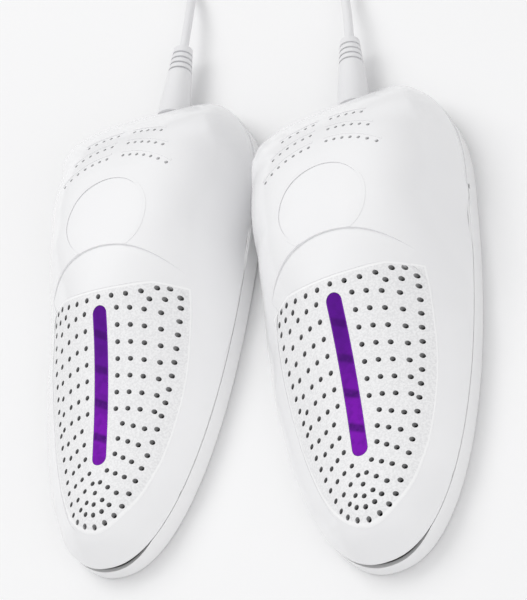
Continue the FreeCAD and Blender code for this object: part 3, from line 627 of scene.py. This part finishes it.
FINISHES = {
    "circuit_board": Finish("circuit_board", (0.02, 0.12, 0.04), (0.015, 0.09, 0.03), (0.3, 0.4)),
    "led_package": Finish("led_package", (0.7, 0.62, 0.35), (0.6, 0.5, 0.3), (0.3, 0.4)),
    "black_component": Finish("black_component", (0.02, 0.02, 0.02), (0.03, 0.03, 0.03), (0.4, 0.5)),
    "screw_steel": Finish("screw_steel", (0.55, 0.55, 0.56), (0.45, 0.45, 0.47), (0.25, 0.4), metal=1.0),
    "heater_aluminium": Finish(
        "heater_aluminium", (0.6, 0.61, 0.62), (0.5, 0.51, 0.52), (0.3, 0.5), metal=1.0),
    "heater_ceramic": Finish("heater_ceramic", (0.05, 0.045, 0.045), (0.07, 0.06, 0.06), (0.6, 0.8)),
    "mica_sheet": Finish("mica_sheet", (0.35, 0.27, 0.15), (0.28, 0.2, 0.1), (0.3, 0.5)),
    "spring_steel": Finish("spring_steel", (0.4, 0.41, 0.43), (0.33, 0.33, 0.35), (0.3, 0.4), metal=1.0),
    "cutout_case": Finish("cutout_case", (0.02, 0.02, 0.02), (0.03, 0.03, 0.03), (0.4, 0.5)),
    "relief_white": Finish("relief_white", (0.8, 0.8, 0.81), (0.76, 0.76, 0.775), (0.38, 0.5), 3000, 0.00001),
    "clamp_plastic": Finish("clamp_plastic", (0.7, 0.7, 0.7), (0.65, 0.65, 0.65), (0.4, 0.5)),
    "wire_red": Finish("wire_red", (0.4, 0.02, 0.02), (0.3, 0.015, 0.015), (0.4, 0.5)),
    "wire_brown": Finish("wire_brown", (0.12, 0.05, 0.02), (0.1, 0.04, 0.015), (0.4, 0.5)),
    "cord_white": Finish("cord_white", (0.8, 0.8, 0.81), (0.76, 0.76, 0.775), (0.35, 0.5), 2500, 0.00001),
    "tie_strap": Finish("tie_strap", (0.55, 0.55, 0.56), (0.45, 0.45, 0.46), (0.8, 0.95), 4000, 0.0001),
    "plug_white": Finish("plug_white", (0.8, 0.8, 0.81), (0.77, 0.77, 0.785), (0.25, 0.35), 2500, 0.00001),
    "pin_nickel": Finish("pin_nickel", (0.66, 0.64, 0.6), (0.58, 0.56, 0.52), (0.18, 0.3), metal=1.0),
}


# ---- the two dryers --------------------------------------------------------------------------------
@dataclass
class Dryer:
    """One dryer: its case halves, its lens and everything inside them."""

    side: Side
    white: tuple[float, float, float] = (0.87, 0.87, 0.88)
    shade: tuple[float, float, float] = (0.85, 0.85, 0.862)
    base_white: tuple[float, float, float] = (0.88, 0.88, 0.885)
    base_shade: tuple[float, float, float] = (0.86, 0.86, 0.868)
    violet_toe: tuple[float, float, float] = (0.2, 0.006, 0.42)
    violet_heel: tuple[float, float, float] = (0.1, 0.004, 0.26)
    gloss: tuple[float, float] = (0.14, 0.22)
    coat: float = 0.2

    def own_finishes(self) -> dict[str, bpy.types.Material]:
        """Make the finishes that follow this dryer's own frame.

        Returns:
            The materials by node name.
        """
        name = self.side.value
        top = CaseFinish("gloss_white", self.white, self.shade, self.gloss, 300.0, 0.00009,
                         coat=self.coat, side=self.side)
        base = CaseFinish("gloss_white", self.base_white, self.base_shade, self.gloss, 300.0, 0.00009,
                          coat=self.coat, side=self.side, lower=True)
        lens = LensFinish("violet_lens", self.violet_toe, self.violet_heel, (0.3, 0.42), 1500.0, 0.00001,
                          side=self.side)
        return {f"{name}_upper_shell": top.build(), f"{name}_lower_shell": base.build(),
                f"{name}_light_lens": lens.build()}

    def dress(self, shared: dict[str, bpy.types.Material]) -> None:
        """Give each of this dryer's pieces its finish.

        Args:
            shared: The common materials by slot name.
        """
        own = self.own_finishes()
        for row in frame["record"]["subparts"]:
            if row["node"].startswith(self.side.value):
                dress_piece(row["node"], own.get(row["node"]) or shared[row["material_slot"]])


def dress_piece(name: str, material: bpy.types.Material) -> None:
    """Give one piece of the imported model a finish.

    Args:
        name: The node's name.
        material: Its finish.
    """
    mesh = frame["nodes"][name].data
    mesh.materials.clear()
    mesh.materials.append(material)
    LOG.info("%s finished in %s", name, material.name)


# ---- cords -----------------------------------------------------------------------------------------
@dataclass
class CordRoute:
    """A lead laid along given points as one smooth open spline."""

    name: str
    points: list[tuple[float, float, float]]
    length: float
    far_end: str
    lay: str
    replaced: list[str]
    pieces: list[str]

    def build(self, material: bpy.types.Material) -> bpy.types.Object:
        """Args:
            material: The lead's finish.

        Returns:
            The curve object.
        """
        curve = bpy.data.curves.new(self.name, "CURVE")
        curve.dimensions = "3D"
        spline = curve.splines.new("NURBS")
        points = np.array(self.points) * MM
        spline.points.add(len(points) - 1)
        weighted = np.concatenate([points, np.ones((len(points), 1))], axis=1)
        spline.points.foreach_set("co", weighted.ravel())
        spline.order_u = 3
        spline.use_endpoint_u = True
        spline.resolution_u = 12
        curve.bevel_depth = CORD_RADIUS
        curve.bevel_resolution = 6
        curve.use_fill_caps = True
        curve.materials.append(material)
        cord = bpy.data.objects.new(self.name, curve)
        bpy.context.scene.collection.objects.link(cord)
        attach(cord, "root")
        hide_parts(*self.replaced)
        LOG.info("%s laid through %d points", self.name, len(points))
        return cord


@dataclass
class Coil:
    """The spare mains lead: one strand wound turn on turn into a neat bundle."""

    centre: tuple[float, float] = (-18.0, 352.0)
    radius: float = 18.0
    turns: float = 7.2
    points_per_turn: int = 16
    shift_width: float = 0.16
    strap_lift: float = 0.7
    # place of each turn in the bundle: mm outwards from the middle of the bundle, mm above the floor
    places: list[tuple[float, float]] = field(default_factory=lambda: [
        (1.6, 1.6), (-1.6, 1.6), (-3.2, 4.4), (0.0, 4.4), (3.2, 4.4), (1.6, 7.2), (-1.6, 7.2), (0.3, 9.9),
    ])

    def strand(self) -> list[tuple[float, float, float]]:
        """Points of the wound strand.

        The strand goes round at an even rate.  Late in each turn it steps over to the next place in the
        bundle, and the later turns step over a little earlier, so that they make room for each other.

        Returns:
            Points in millimetres from the inlet to the outlet.
        """
        count = int(self.turns * self.points_per_turn)
        line = []
        for k in range(1, count + 1):
            t = k / self.points_per_turn
            turn = int(t)
            shift_at = 0.92 - 0.09 * turn
            share = min(max((t - turn - shift_at) / self.shift_width + 0.5, 0.0), 1.0)
            share = share * share * (3 - 2 * share)
            a = self.places[min(turn, len(self.places) - 1)]
            b = self.places[min(turn + 1, len(self.places) - 1)]
            out = a[0] + (b[0] - a[0]) * share
            up = a[1] + (b[1] - a[1]) * share
            angle = 2 * math.pi * t
            away = (angle + 0.5 * math.pi + math.pi) % (2 * math.pi) - math.pi
            up += self.strap_lift * math.exp(-(away / 0.4) ** 2)
            reach = self.radius + out
            x = self.centre[0] + reach * math.cos(angle)
            y = self.centre[1] + reach * math.sin(angle)
            line.append((x, y, up))
        return line


LEFT_ROUTE = [
    (-33.6, 114.2, 8.3), (-32.5, 129.5, 7.8), (-34.4, 147.0, 3.2), (-46.0, 170.0, 1.6),
    (-70.0, 190.0, 1.6), (-76.0, 222.0, 1.6), (-57.0, 250.0, 1.6), (-27.0, 251.0, 1.6),
    (-8.0, 272.5, 1.6), (-4.2, 300.0, 3.5),
]
RIGHT_ROUTE = [
    (33.6, 92.2, 8.3), (32.7, 104.2, 8.1), (29.0, 120.5, 5.2), (34.0, 145.0, 1.6),
    (56.0, 169.0, 1.6), (74.0, 196.0, 1.6), (72.0, 230.0, 1.6), (50.0, 254.0, 1.6),
    (24.0, 262.0, 1.6), (7.5, 279.0, 1.6), (4.2, 300.0, 3.5),
]
MAINS_ROUTE = [(0.0, 326.0, 3.5), (0.3, 334.5, 3.1), (0.6, 344.0, 2.4)]
TAIL_ROUTE = [
    (-30.0, 371.0, 5.6), (-42.5, 366.5, 6.2), (-49.4, 355.0, 6.8), (-50.0, 346.0, 7.0), (-50.0, 338.0, 7.0),
]


@dataclass
class CoilTie:
    """Soft strap wrapped once round the coil's bundle, its end lapped over on top."""

    middle: tuple[float, float, float] = (-18.0, 333.8, 6.5)
    half_depth: float = 5.25
    half_height: float = 6.05
    power: float = 2.8
    width: float = 7.0
    thickness: float = 0.6
    turns: float = 1.16
    start: float = 0.17
    steps: int = 180
    edge_steps: int = 24

    def surface(self) -> np.ndarray:
        """Points of the strap as rings round its band.

        The band's middle line is a superellipse: depth times cosine and height times sine, each raised to
        2 over the power with its sign kept.  It starts part of a turn round and runs on past a full turn,
        and the lapped end rises by one thickness.  Each ring is a thin superellipse: half the width times
        cosine along the coil's cord and half the thickness times sine along the band's normal.  The width
        closes on a round arc at the free end.

        Returns:
            Points in millimetres, shape (steps, edge_steps, 3).
        """
        travel = np.linspace(0.0, self.turns, self.steps)
        angle = 2 * np.pi * (self.start + travel)
        c, d = np.cos(angle), np.sin(angle)
        y = self.half_depth * np.sign(c) * np.abs(c) ** (2 / self.power)
        z = self.half_height * np.sign(d) * np.abs(d) ** (2 / self.power)
        slope = self.power - 1
        normal = np.stack([np.sign(y) * np.abs(y / self.half_depth) ** slope / self.half_depth,
                           np.sign(z) * np.abs(z / self.half_height) ** slope / self.half_height], axis=1)
        normal /= np.linalg.norm(normal, axis=1, keepdims=True)
        lap = np.clip((travel - 0.9) / 0.1, 0.0, 1.0)
        lift = (self.thickness + 0.06) * lap * lap * (3 - 2 * lap)
        reach = 2 * np.pi * self.half_height * (self.turns - travel)
        tip = np.clip(1.0 - reach / (self.width / 2), 0.0, 1.0)
        span = self.width / 2 * np.sqrt(np.maximum(1.0 - tip**2, 0.02))
        ring = np.linspace(0.0, 2 * np.pi, self.edge_steps, endpoint=False)
        e, f = np.cos(ring), np.sin(ring)
        across = np.sign(e) * np.abs(e) ** 0.35
        rise = np.sign(f) * np.abs(f) ** 0.35 * self.thickness / 2
        out = lift[:, None] + rise[None, :]
        return np.stack([self.middle[0] + span[:, None] * across[None, :],
                         self.middle[1] + y[:, None] + normal[:, :1] * out,
                         self.middle[2] + z[:, None] + normal[:, 1:] * out], axis=2)

    def build(self, material: bpy.types.Material) -> bpy.types.Object:
        """Make the strap's mesh and dress it.

        Args:
            material: The strap's finish.

        Returns:
            The strap.
        """
        points = self.surface() * MM
        rows, columns = points.shape[:2]
        index = np.arange(rows * columns).reshape(rows, columns)
        ahead = np.roll(index, -1, axis=1)
        quads = np.stack([index[:-1], ahead[:-1], ahead[1:], index[1:]], axis=2).reshape(-1, 4)
        faces = quads.tolist() + [index[0, ::-1].tolist(), index[-1].tolist()]
        mesh = bpy.data.meshes.new("coil_strap")
        mesh.from_pydata(points.reshape(-1, 3).tolist(), [], faces)
        mesh.polygons.foreach_set("use_smooth", np.ones(len(mesh.polygons), dtype=bool))
        mesh.set_sharp_from_angle(angle=math.radians(50))
        mesh.materials.append(material)
        strap = bpy.data.objects.new("coil_strap", mesh)
        bpy.context.scene.collection.objects.link(strap)
        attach(strap, "root")
        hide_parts("coil_tie")
        LOG.info("coil_strap made with %d faces", len(faces))
        return strap


@dataclass
class LeadSet:
    """The forked lead: two short leads, their splitter, and the coiled mains lead with its plug."""

    left_length: float = 0.236
    right_length: float = 0.253
    mains_length: float = 0.9
    coil: Coil = field(default_factory=Coil)
    tie: CoilTie = field(default_factory=CoilTie)

    def dress(self, shared: dict[str, bpy.types.Material]) -> None:
        """Give the pieces of neither dryer their finishes.

        Args:
            shared: The common materials by slot name.
        """
        for row in frame["record"]["subparts"]:
            if not row["node"].startswith(tuple(side.value for side in Side)):
                dress_piece(row["node"], shared[row["material_slot"]])

    def lay(self, shared: dict[str, bpy.types.Material]) -> None:
        """Lay the two short leads and the mains lead, and wrap the strap round the coil.

        Args:
            shared: The common materials by slot name.
        """
        white = shared["cord_white"]
        CordRoute("left_cord", LEFT_ROUTE, self.left_length, "fitting", "loose", ["left_lead"],
                  ["cord_splitter", "left_strain_relief"]).build(white)
        CordRoute("right_cord", RIGHT_ROUTE, self.right_length, "fitting", "loose", ["right_lead"],
                  ["cord_splitter", "right_strain_relief"]).build(white)
        strap = self.tie.build(shared["tie_strap"])
        mains = MAINS_ROUTE + self.coil.strand() + TAIL_ROUTE
        CordRoute("mains_cord", mains, self.mains_length, "plug", "coiled",
                  ["mains_lead", "lead_coil", "plug_tail"],
                  ["plug_body", "plug_pins", strap.name]).build(white)


# ---- the set ---------------------------------------------------------------------------------------
@dataclass(frozen=True)
class Lamp:
    """A soft square light aimed at the dryers: place and side in metres, power in watts."""

    name: str
    place: tuple[float, float, float]
    side: float
    power: float

    def build(self) -> None:
        """Add the light.  It leaves no hard reflection on the glossy cases."""
        data = bpy.data.lights.new(self.name, "AREA")
        data.size = self.side
        data.energy = self.power
        lamp = bpy.data.objects.new(self.name, data)
        lamp.location = self.place
        lamp.rotation_mode = "QUATERNION"
        lamp.rotation_quaternion = (-Vector(self.place)).to_track_quat("-Z", "Y")
        lamp.visible_glossy = False
        bpy.context.scene.collection.objects.link(lamp)


@dataclass
class Studio:
    """Pale floor, soft lights and the camera."""

    azimuth: float = 36.0435
    elevation: float = 45.0017
    roll: float = -43.543
    distance: float = 0.8615
    target: tuple[float, float, float] = (0.01046, -0.01520, 0.020)
    lens: float = 162.0
    sensor: float = 36.0
    lamps: tuple[Lamp, ...] = (
        Lamp("key", (-0.8, 0.6, 1.6), 1.3, 14.0),
        Lamp("front", (1.2, -1.2, 0.9), 1.4, 8.0),
    )
    floor_reach: float = 4.0
    floor_colour: tuple[float, float, float] = (0.88, 0.88, 0.885)
    floor_roughness: float = 0.6
    horizon: tuple[float, float, float] = (0.62, 0.62, 0.625)
    overhead: tuple[float, float, float] = (0.98, 0.98, 0.98)
    dim_side: tuple[float, float, float] = (0.4, 0.4, 0.405)
    room_strength: float = 0.75

    def camera(self) -> None:
        """Make the camera: it looks at the target from the given angles and is turned about its view."""
        data = bpy.data.cameras.new("camera")
        data.lens = self.lens
        data.sensor_width = self.sensor
        data.clip_start = 0.05
        data.clip_end = 20.0
        camera = bpy.data.objects.new("camera", data)
        a, e, r = (math.radians(v) for v in (self.azimuth, self.elevation, self.roll))
        back = Vector((math.sin(a) * math.cos(e), -math.cos(a) * math.cos(e), math.sin(e)))
        level = Vector((math.cos(a), math.sin(a), 0.0))
        rise = back.cross(level)
        right = level * math.cos(r) + rise * math.sin(r)
        up = back.cross(right)
        place = Vector(self.target) + back * self.distance
        camera.matrix_world = Matrix((
            (right.x, up.x, back.x, place.x),
            (right.y, up.y, back.y, place.y),
            (right.z, up.z, back.z, place.z),
            (0, 0, 0, 1),
        ))
        bpy.context.scene.collection.objects.link(camera)
        bpy.context.scene.camera = camera

    def floor(self) -> None:
        """Lay a wide pale floor."""
        mesh = bpy.data.meshes.new("floor")
        s = self.floor_reach
        mesh.from_pydata([(-s, -s, 0), (s, -s, 0), (s, s, 0), (-s, s, 0)], [], [(0, 1, 2, 3)])
        material = bpy.data.materials.new("floor")
        material.use_nodes = True
        shader = material.node_tree.nodes["Principled BSDF"]
        shader.inputs["Base Color"].default_value = (*self.floor_colour, 1.0)
        shader.inputs["Roughness"].default_value = self.floor_roughness
        mesh.materials.append(material)
        floor = bpy.data.objects.new("floor", mesh)
        bpy.context.scene.collection.objects.link(floor)

    def world(self) -> None:
        """Fill the room with soft light: bright overhead, dimmer towards the horizon and on the right."""
        world = bpy.data.worlds.new("room")
        world.use_nodes = True
        board = Board(world.node_tree)
        parts = board.add("ShaderNodeSeparateXYZ")
        board.join(board.add("ShaderNodeTexCoord").outputs["Generated"], parts.inputs["Vector"])
        rise = board.spread(parts.outputs["Z"], 0.0, 0.8, 0.0, 1.0)
        light = board.mix(rise, self.horizon, self.overhead)
        side = board.spread(parts.outputs["X"], 0.0, 1.0, 0.0, 0.08)
        light = board.mix(side, light, self.dim_side)
        sky = world.node_tree.nodes["Background"]
        board.join(light, sky.inputs["Color"])
        sky.inputs["Strength"].default_value = self.room_strength
        bpy.context.scene.world = world

    def build(self) -> None:
        """Set up the whole studio."""
        self.camera()
        self.floor()
        self.world()
        for lamp in self.lamps:
            lamp.build()
        bpy.context.scene.view_settings.view_transform = "Standard"


def main() -> None:
    """Build everything in order."""
    logging.basicConfig(level=logging.INFO)
    shared = {name: finish.build() for name, finish in FINISHES.items()}
    for side in Side:
        Dryer(side).dress(shared)
    leads = LeadSet()
    leads.dress(shared)
    leads.lay(shared)
    Studio().build()


if __name__ == "__main__":
    main()
